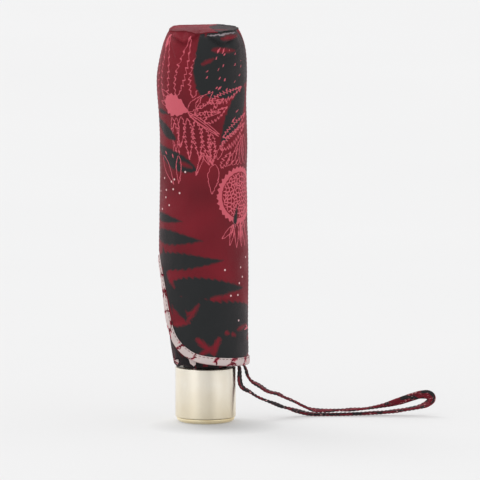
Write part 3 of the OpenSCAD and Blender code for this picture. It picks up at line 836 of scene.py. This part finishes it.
def strap_frames(steps):
    """Rings along the strap: centre, width direction and face direction, in millimetres."""
    line = [spline(STRAP_ROUTE, k / steps) for k in range((len(STRAP_ROUTE) - 1) * steps + 1)]
    for k, (x, y, z, turn) in enumerate(line):
        loose = smooth((x - LIMP_FROM) / LIMP_OVER)
        sway = loose * noise.noise(Vector((x * 0.11, z * 0.3, 0.004 * k)))
        held = smooth(z / 5)                   # the floor keeps the lowest stretches flat
        line[k] = (x, y + 0.5 * sway, z + 0.2 * abs(sway), turn + STRAP_TWIST * held * sway)
    frames = []
    for k, (*point, degrees_turned) in enumerate(line):
        before, after = line[max(k - 1, 0)], line[min(k + 1, len(line) - 1)]
        along = (Vector(after[:3]) - Vector(before[:3])).normalized()
        if k == 0:
            along = Vector((1, 0, 0))
        if k == len(line) - 1:
            along = Vector((-1, 0, 0))
        flat = (Vector((0, 1, 0)) - along.y * along).normalized()
        turn = radians(degrees_turned)
        side = cos(turn) * flat + sin(turn) * along.cross(flat)
        frames.append((Vector(point), side, along.cross(side)))
    return frames


def ribbon_section(width, thick):
    """Outline of a ribbon folded in, with plump edges and a dip down its middle."""
    across = [-0.5, -0.47, -0.38, -0.2, -0.06, 0.0, 0.06, 0.2, 0.38, 0.47, 0.5]
    plump = [0.0, 0.34, 0.5, 0.46, 0.42, 0.36, 0.42, 0.46, 0.5, 0.34, 0.0]
    top = [(a * width, p * thick) for a, p in zip(across, plump)]
    return top + [(a, -b) for a, b in reversed(top[1:-1])]


def make_strap(cloth, sewing):
    """The looped wrist strap: a printed ribbon folded lengthwise and sewn down both edges."""
    frames = strap_frames(STRAP_RINGS)
    section = ribbon_section(STRAP_W, STRAP_T)
    cols = len(section)
    verts, travel, distance = [], [], 0.0
    for k, (centre, side, face) in enumerate(frames):
        if k:
            distance += (centre - frames[k - 1][0]).length
        travel.append(distance)
        ripple = 0.12 * sin(distance * 0.55) + 0.1 * sin(distance * 1.3 + 1)
        verts += [centre + side * a + face * (b + ripple * (a / STRAP_W) ** 2 * 2) for a, b in section]
    faces = [f[::-1] for f in grid(len(frames), cols, True)]
    faces.append(tuple(range(cols)))
    faces.append(tuple(reversed(range((len(frames) - 1) * cols, len(frames) * cols))))

    def uv(_, vertex):
        # the print runs down the ribbon to the loop's end and back up again
        ring, k = divmod(vertex, cols)
        across = section[k][0] + (STRAP_W if k > cols // 2 else 0)
        along = travel[ring] + 12
        return (across * 1.2 + 4, 238 - (along if along < PRINT_TURN else 2 * PRINT_TURN - along))

    strap = make_object("wrist_strap_ribbon", verts, faces, uv)
    place(strap, "handle", cloth, ["wrist_strap"])
    inset = STRAP_W / 2 - STRAP_SEAM
    rows = []
    for edge in (-inset, inset):
        for face_side in (1, -1):
            line = [(c + s * edge + f * face_side * STRAP_T * 0.5, f * face_side) for c, s, f in frames]
            rows.append(stitch_row(line, *STRAP_ROW))
    stitches = place(join_rows("strap_stitches", rows), "handle", sewing)
    [f[0] * MM for f in frames]


# -------- sleeve

PER_DEGREE = radians(27)                # millimetres of cloth to a degree round the sleeve
HEM_STEPS = 520
FRONT, BACK = 270, 90                   # azimuths of the two panels' middles
BACK_PRINT = 268                        # the back panel wears the print upside down from this height
# Folded edges of the boxed top, as lines on the front panel: x, y, x, y and height of the step, which
# faces down, or up if it is negative
CREASES = [(-29, 238.5, -13, 232, 2.0), (-13, 232, -3, 238.5, 1.8), (-25, 235, -18, 223, 0.6),
           (2.5, 237.2, 12.5, 231.8, 1.7), (12.5, 231.8, 28, 237, 1.9), (1, 236.4, 30, 237.8, -1.3),
           (13, 223, 33, 231, 0.6)]
CREASES_FROM = 215                      # height above which the creases reach
# Drag folds below the corners of the boxed top: azimuth, slant and depth
DRAG_FOLDS = [(241, 1.5, 0.55), (303, -1.8, 0.5), (70, 1.4, 0.5), (130, -1.2, 0.5)]
# The rolled top seam and the top panel: how far out from the cloth's face, and the rise above the seam
PANEL_RINGS = [(0.15, 0.55), (-0.55, 0.75), (-1.3, 0.35), (-2.4, 0.3), (-5, 0.55), (-8, 0.8), (-12, 1.0),
               (-16, 1.1), (-19, 1.15)]
# Section of the hem's tape, folded over the cloth's edge: into the cloth, and out from its face
TAPE_SECTION = [(BINDING_HALF, 0.06), (2.2, 0.42), (1.2, 0.5), (0.0, 0.48), (-1.2, 0.5), (-2.1, 0.42),
                (-BINDING_HALF, 0.0), (-BINDING_HALF, -0.9), (-2.1, -1.3), (-1.2, -1.35), (0.0, -1.3),
                (1.2, -1.3), (2.0, -1.2), (2.2, -0.9)]


def hem_run():
    """Points along the hem's middle line, evenly spaced: distance round the cloth, height, and the way in."""
    coarse = [Vector((phi * PER_DEGREE, profile(HEM_LINE, abs(phi))))
              for phi in (k / 8 for k in range(-180 * 8, 180 * 8 + 1))]
    lengths = [0.0]
    for a, b in zip(coarse, coarse[1:]):
        lengths.append(lengths[-1] + (b - a).length)
    points, k = [], 0
    for i in range(HEM_STEPS + 1):
        want = lengths[-1] * i / HEM_STEPS
        while k < len(lengths) - 2 and lengths[k + 1] < want:
            k += 1
        points.append(coarse[k].lerp(coarse[k + 1], (want - lengths[k]) / (lengths[k + 1] - lengths[k])))
    run = []
    for i, p in enumerate(points):
        ahead = points[min(i + 2, HEM_STEPS)] - points[max(i - 2, 0)]
        run.append((p, Vector((-ahead.y, ahead.x)).normalized()))
    return run


HEM_RUN = hem_run()
HEM_TABLES = {}


def beside_hem(i, across):
    """Azimuth and height beside point i of the hem; across is how far into the cloth, in millimetres."""
    point, inward = HEM_RUN[i]
    p = point + inward * across
    return SLIT_SIDE + p.x / PER_DEGREE, p.y


def hem_height(azimuth, across):
    """Height of the hem at an azimuth, moved across millimetres into the cloth."""
    if across not in HEM_TABLES:
        HEM_TABLES[across] = sorted(beside_hem(i, across) for i in range(HEM_STEPS + 1))
    table = HEM_TABLES[across]
    turn = SLIT_SIDE + around(azimuth, SLIT_SIDE)
    low, high = 0, len(table) - 1
    while high - low > 1:
        middle = (low + high) // 2
        if table[middle][0] <= turn:
            low = middle
        else:
            high = middle
    (a0, z0), (a1, z1) = table[low], table[high]
    return lerp(z0, z1, min(max((turn - a0) / max(a1 - a0, 1e-6), 0), 1))


def make_pleats():
    """Gathers under the top seam: azimuth, width in degrees, depth in millimetres."""
    rnd = random.Random(7)
    pleats = [(238.0, 5.0, 1.5), (247.0, 3.5, -0.8), (305.0, 5.0, 1.3), (296.0, 4.0, -0.7), (272.0, 7.0, 0.5)]
    azimuth = 0.0
    while azimuth < 360:
        if not 225 < azimuth < 315:
            pleats.append((azimuth, rnd.uniform(3, 6), rnd.uniform(0.4, 1.2)))
        azimuth += rnd.uniform(9, 20)
    return pleats


PLEATS = make_pleats()


def seam_height(azimuth):
    """Height of the top seam, which dips where the boxed top is folded in."""
    return SEAM_Z - sum(dip * bump(around(azimuth, centre), width) for centre, width, dip in SEAM_DIPS)


def crease_rise(u, v):
    """How far the folded cloth stands up beside the creases of the top, in millimetres."""
    rise = 0.0
    for x0, y0, x1, y1, step in CREASES:
        run = Vector((x1 - x0, y1 - y0))
        t = ((u - x0) * run.x + (v - y0) * run.y) / run.length_squared
        if not -0.15 < t < 1.15:
            continue
        off = ((v - y0) * run.x - (u - x0) * run.y) / run.length * copysign(1, step)
        rise += abs(step) * smooth(t * 4 + 0.5) * smooth((1 - t) * 4 + 0.5) * (
            (0.5 + 0.5 * tanh(off / 0.3)) * exp(-max(off, 0) / 4.0) - 0.35 * bump(off + 0.8, 1.0))
    return rise


def sleeve_radius(azimuth, z):
    """Radius of the sleeve's outer face, with its soft folds, gathers and seams, in millimetres."""
    a = radians(azimuth)
    r = profile(SLEEVE_RADII, z)
    below = max(seam_height(azimuth) - z, 0.0)
    boxed = exp(-below / 14.0)
    r *= 1 + boxed * (0.05 * cos(radians(4 * (azimuth - 215))) + 0.012 * cos(3 * a + 1))
    r += 0.55 * noise.noise(Vector((cos(a), sin(a), z / 42)) * 1.3 + Vector((3, 1, 7)))
    r += 0.16 * noise.noise(Vector((cos(a) * 4, sin(a) * 4, z / 16)))
    near_top = exp(-below / 7.0)
    for centre, width, depth in PLEATS:
        r -= depth * near_top * bump(around(azimuth, centre + 0.35 * below), width)
    for corner, lean, depth in DRAG_FOLDS:
        line = around(azimuth, corner + lean * below)
        r -= depth * bump(line, 6.0) * smooth(below / 5) * exp(-below / 15.0)
    # side seams, pulled in by their stitching
    for seam in (0.0, 180.0):
        r -= 0.2 * bump(around(azimuth, seam) * PER_DEGREE, 0.9)
    if z > CREASES_FROM:
        r += crease_rise(around(azimuth, FRONT) * PER_DEGREE, z)
        r += 0.6 * crease_rise(around(azimuth, BACK) * PER_DEGREE, z)
    hem = z - hem_height(azimuth, -BINDING_HALF)
    r += 0.35 * exp(-max(hem, 0) / 8.0) * sin(3 * a + 0.6)
    r -= 0.35 * bump(hem - 5.4, 1.0)
    return r


def on_sleeve(azimuth, z, lift=0.0):
    """Point of the sleeve's outer face, or lift outside it."""
    return polar(sleeve_radius(azimuth, z) + lift, azimuth, z) + Vector((profile(SLEEVE_LEAN, z), 0, 0))


def make_sleeve(cloth, tape, sewing):
    """The printed sleeve: two panels, a gathered and boxed top, and the bound hem."""
    cols, rows = 300, 210
    angles = [360 * j / cols for j in range(cols)]
    verts, heights = [], []
    for i in range(rows):
        t = i / (rows - 1)
        t = t + 0.16 * sin(pi * t) * (1 - 0.4 * t)      # closer rows near the gathered top
        for azimuth in angles:
            z = lerp(hem_height(azimuth, 0.3 - BINDING_HALF), seam_height(azimuth), t)
            verts.append(on_sleeve(azimuth, z))
            heights.append(z)
    # the rolled seam and the top panel, which sags a little inside its seam
    lean = profile(SLEEVE_LEAN, SEAM_Z)
    for inset, rise in PANEL_RINGS:
        for azimuth in angles:
            seam = lerp(seam_height(azimuth), SEAM_Z, smooth(-inset / 9))
            p = polar(max(sleeve_radius(azimuth, seam_height(azimuth)) + inset, 0.8), azimuth)
            sag = 0.35 * noise.noise(Vector((p.x / 9, p.y / 9, 3))) * smooth(-inset / 3)
            verts.append((lean + p.x, p.y, seam + rise * PANEL_RISE + sag))
    total = rows + len(PANEL_RINGS)
    faces = grid(total, cols, True)
    centre = len(verts)
    verts.append((lean, 0, SEAM_Z + 1.2 * PANEL_RISE))
    base = (total - 1) * cols
    faces += [(base + j, base + (j + 1) % cols, centre) for j in range(cols)]

    def uv(face, vertex):
        row, column = divmod(face, cols)
        if row >= rows - 1:
            x, y, _ = verts[vertex]
            return (x, TOP_PRINT + y)
        azimuth = angles[vertex % cols]
        if angles[column] >= 180:
            return (around(azimuth, FRONT) * PER_DEGREE, heights[vertex])
        return (around(azimuth, BACK) * PER_DEGREE, BACK_PRINT - heights[vertex])

    sleeve = make_object("sleeve_cloth", verts, faces, uv, smooth_angle=75)
    thicken(sleeve, CLOTH_T)
    place(sleeve, "sleeve", cloth, ["sleeve"])
    binding = make_binding(tape)
    make_sleeve_stitches(sewing)


def make_binding(tape):
    """The tape that binds the hem."""
    count = len(TAPE_SECTION)
    verts, along, distance = [], [], 0.0
    before = on_sleeve(*beside_hem(0, 0))
    for k in range(HEM_STEPS):
        wave = 0.1 * noise.noise(Vector((k * 0.23, 0, 5)))
        verts += [on_sleeve(*beside_hem(k, across), lift + wave) for across, lift in TAPE_SECTION]
        here = on_sleeve(*beside_hem(k, 0))
        distance += (here - before).length
        before = here
        along.append(distance)
    faces = grid(HEM_STEPS, count, True)
    last = (HEM_STEPS - 1) * count
    faces += [(last + j, last + (j + 1) % count, (j + 1) % count, j) for j in range(count)]

    def uv(face, vertex):
        ring, j = divmod(vertex, count)
        closing = face >= last and ring == 0
        return (along[-1] + along[1] if closing else along[ring], TAPE_SECTION[j][0] + (8 if j > 6 else 0))

    binding = make_object("hem_binding", verts, faces, uv, smooth_angle=75)
    return place(binding, "sleeve", tape, ["sleeve_binding"])


def make_sleeve_stitches(sewing):
    """The row that holds the binding, and two down the closed part of each side seam."""
    hem = [beside_hem(k, 1.75) for k in range(HEM_STEPS + 1)]
    line = [(on_sleeve(azimuth, z, 0.5), polar(1, azimuth)) for azimuth, z in hem]
    rows = [stitch_row(line, *HEM_ROW)]
    for seam in (0.0, 180.0):
        low, high = hem_height(seam, 3.5), SEAM_Z - 6
        for beside in (-3.2, 3.2):
            column = [(on_sleeve(seam + beside, lerp(low, high, k / 200), -0.04), polar(1, seam))
                      for k in range(201)]
            rows.append(stitch_row(column, *SEAM_ROW))
    place(join_rows("sleeve_stitches", rows), "sleeve", sewing)


# -------- furled canopy

GORE_ANGLE = 360 / GORES
FURL_CLOTH_T = 0.5
TIE_CLOTH_T = 0.45
TIE_RADIUS = 24.05
TIE_START, TIE_OVERLAP = 250, 60        # the tie's first azimuth, and how far its free end is laid over
CANOPY_TOP_R = 6.0                      # hole in the rolled cloth where the crown comes through
TAB_FEET_R, TAB_TOPS_R = 17.2, 20.2     # radii at a corner tab's lower and upper end


def furl_radius(azimuth, z):
    """Radius of the rolled canopy: eight flaps wrapped one over the next."""
    a = radians(azimuth)
    turns = (azimuth + 0.16 * z + 5 * sin(z / 37)) / GORE_ANGLE
    place_in = turns % 1
    flap = int(turns // 1) % GORES
    depth = FLAP_STEP * (0.7 + 0.25 * sin(flap * 2.3 + 1))
    r = profile(FURL_RADII, z)
    r += depth * (smooth(place_in / 0.07) * (1 - 0.85 * place_in) - 0.75)
    r += 0.35 * noise.noise(Vector((cos(a) * 3, sin(a) * 3, z / 22 + flap)))
    r += 0.15 * sin(z / 5.5 + flap * 1.7 + place_in * 4) * smooth(place_in * 4) * (1 - place_in)
    return r


def furl_foot(azimuth):
    """Lower edge of the canopy: a little lower at the rib tips, drawn up between them."""
    return 35.5 - 1.5 * abs(cos(radians(azimuth - GORE_ANGLE / 2) * GORES / 2)) ** 3


def make_canopy(cloth):
    """The canopy's cloth, rolled round the ribs."""
    cols, rows = 320, 150
    verts, flat = [], []
    for i in range(rows):
        for azimuth in (360 * j / cols for j in range(cols)):
            z = lerp(furl_foot(azimuth), FURL_RADII[-1][0], i / (rows - 1))
            verts.append(polar(furl_radius(azimuth, z) if i < rows - 1 else CANOPY_TOP_R, azimuth, z))
            flat.append((azimuth, z))

    def uv(face, vertex):
        azimuth, z = flat[vertex]
        if azimuth == 0 and face % cols == cols - 1:
            azimuth = 360
        # each gore is folded in half, so the print runs out and back across two of them
        folded = (azimuth / GORE_ANGLE) % 2
        side = folded if folded < 1 else 2 - folded
        return (side * 60 - 34 + 0.1 * z, 16 + (z * 0.8 + azimuth * 0.11) % 200)

    canopy = make_object("furled_cloth", verts, grid(rows, cols, True), uv, smooth_angle=60)
    thicken(canopy, FURL_CLOTH_T)
    place(canopy, "upper_stage", cloth, ["furled_canopy"])


def make_tabs(tape):
    """The canopy's corner tabs: small folded triangles sewn over each rib tip."""
    rows, cols = 9, 7
    verts, faces, flat = [], [], []
    for k in range(GORES):
        faces += [tuple(len(verts) + v for v in f) for f in grid(rows, cols, False)]
        for i in range(rows):
            t = i / (rows - 1)
            z = lerp(TAB_FEET[k], TAB_TOPS[k], t)
            half = lerp(0.9, 4.6, t) * (1 - 0.25 * t)
            for j in range(cols):
                s = lerp(-1, 1, j / (cols - 1))
                r = lerp(TAB_FEET_R, TAB_TOPS_R, t) + 0.9 * (1 - s * s) * (1 - 0.4 * t)
                azimuth = GORE_ANGLE * (k + 0.5) + (-1) ** k * 3.0 * t + degrees(s * half / r)
                if z > 36:
                    r = max(r, furl_radius(azimuth, z) + 0.35)
                verts.append(polar(r, azimuth, z + 0.8 * abs(s) * t))
                flat.append((k * 17 + (z - 33), s * half))
    tabs = make_object("corner_tabs", verts, faces, lambda _, v: flat[v], smooth_angle=60)
    thicken(tabs, FURL_CLOTH_T)
    place(tabs, "upper_stage", tape)


def make_tie(cloth):
    """The closing tie: one band round the roll with its free end laid over."""
    low, high = (corner.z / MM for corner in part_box("closure_tie"))
    cols, rows = 260, 9
    verts, flat = [], []
    for i in range(cols):
        turn = i / (cols - 1) * (360 + TIE_OVERLAP)
        over = smooth((turn - 345) / 15)
        for t in (j / (rows - 1) for j in range(rows)):
            r = TIE_RADIUS + 0.75 * over + 0.12 * sin(pi * t)
            verts.append(polar(r, TIE_START + turn, lerp(low, high, t)))
            flat.append((lerp(-6, 6, t), 60 + turn * 0.42))
    tie = make_object("tie_band", verts, grid(cols, rows, False), lambda _, v: flat[v])
    thicken(tie, TIE_CLOTH_T)
    place(tie, "upper_stage", cloth, ["closure_tie"])


# -------- handle and frame

WALL, LIP = 1.2, 13.4                   # the barrel's wall, and the radius of its opening round the neck
CAP_OVERHANG = 0.5                      # how far the foot cap stands past the CAD cap's flat


def make_handle(champagne, gold):
    """Polished handle shell and its foot cap, turned with rounded edges."""
    low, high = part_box("handle_shell")
    r, foot, top = high.x / MM, low.z / MM, high.z / MM
    shell = lathe("handle_barrel", [(r - WALL, foot), (r - 0.15, foot), (r, foot + 0.5), (r, top), (LIP, top),
                                    (LIP, top - 1), (r - WALL, top - 1)], 0.55)
    place(shell, "handle", champagne, ["handle_shell"])
    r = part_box("base_cap")[1].x / MM + CAP_OVERHANG
    cap = lathe("foot_cap", [(0, 0.05), (r - 2.6, 0), (r - 0.8, 0.7), (r, 1.7), (r, foot - 0.2),
                             (r - 1.2, foot - 0.1), (r - 1.2, 6.4), (r - 2.5, 6.4), (r - 2.5, 4.2),
                             (0, 4.2)], 0.45)
    place(cap, "handle", gold, ["base_cap"])


def paint_nodes():
    """Materials of the CAD parts that show as they are."""
    finishes = {
        "black_plastic": moulded_plastic("black_plastic", rgb(19, 18, 19), 0.55),
        "tip_plastic": moulded_plastic("tip_plastic", rgb(222, 200, 200), 0.42),
        "steel": polished_metal("steel", rgb(178, 178, 182), rgb(160, 160, 164), 0.3, 0.4),
        "black_paint": painted_tube("black_paint", rgb(24, 24, 26)),
        "chromed_tube": polished_metal("chromed_tube", rgb(205, 206, 210), rgb(192, 193, 198), 0.12, 0.2),
        "rib_aluminium": polished_metal("rib_aluminium", rgb(186, 188, 190), rgb(172, 174, 178), 0.36, 0.5),
        "hook_patch": hook_tape()}
    for part in frame["record"]["subparts"]:
        if part["material_slot"] in finishes:
            data = frame["nodes"][part["node"]].data
            data.materials.clear()
            data.materials.append(finishes[part["material_slot"]])


make_camera()
PRINT = print_group()
SEWING = thread("sewing_thread", rgb(112, 26, 40))
BINDING = binding_cloth()
make_strap(strap_cloth("strap_cloth"), thread("strap_thread", rgb(62, 26, 34)))
make_studio()
make_floor()
make_sleeve(printed_cloth("sleeve_cloth", PRINT), BINDING, SEWING)
# the canopy's print is darkened as painted shade, for the rolled cloth in shadow under the sleeve's hem
make_canopy(printed_cloth("canopy_cloth", PRINT, 0.55, roughness=0.6))
make_tabs(BINDING)
make_tie(strap_cloth("tie_cloth"))
# the barrel's foot colour is painted shade, warmer and darker towards the foot
make_handle(polished_metal("champagne_metal", rgb(249, 242, 227), rgb(246, 237, 219), 0.3, 0.1, streak=0.9,
                           foot=(0.90, 0.86, 0.76, 1)),
            polished_metal("gold_metal", rgb(254, 241, 206), rgb(252, 232, 188), 0.3, 0.2))
paint_nodes()
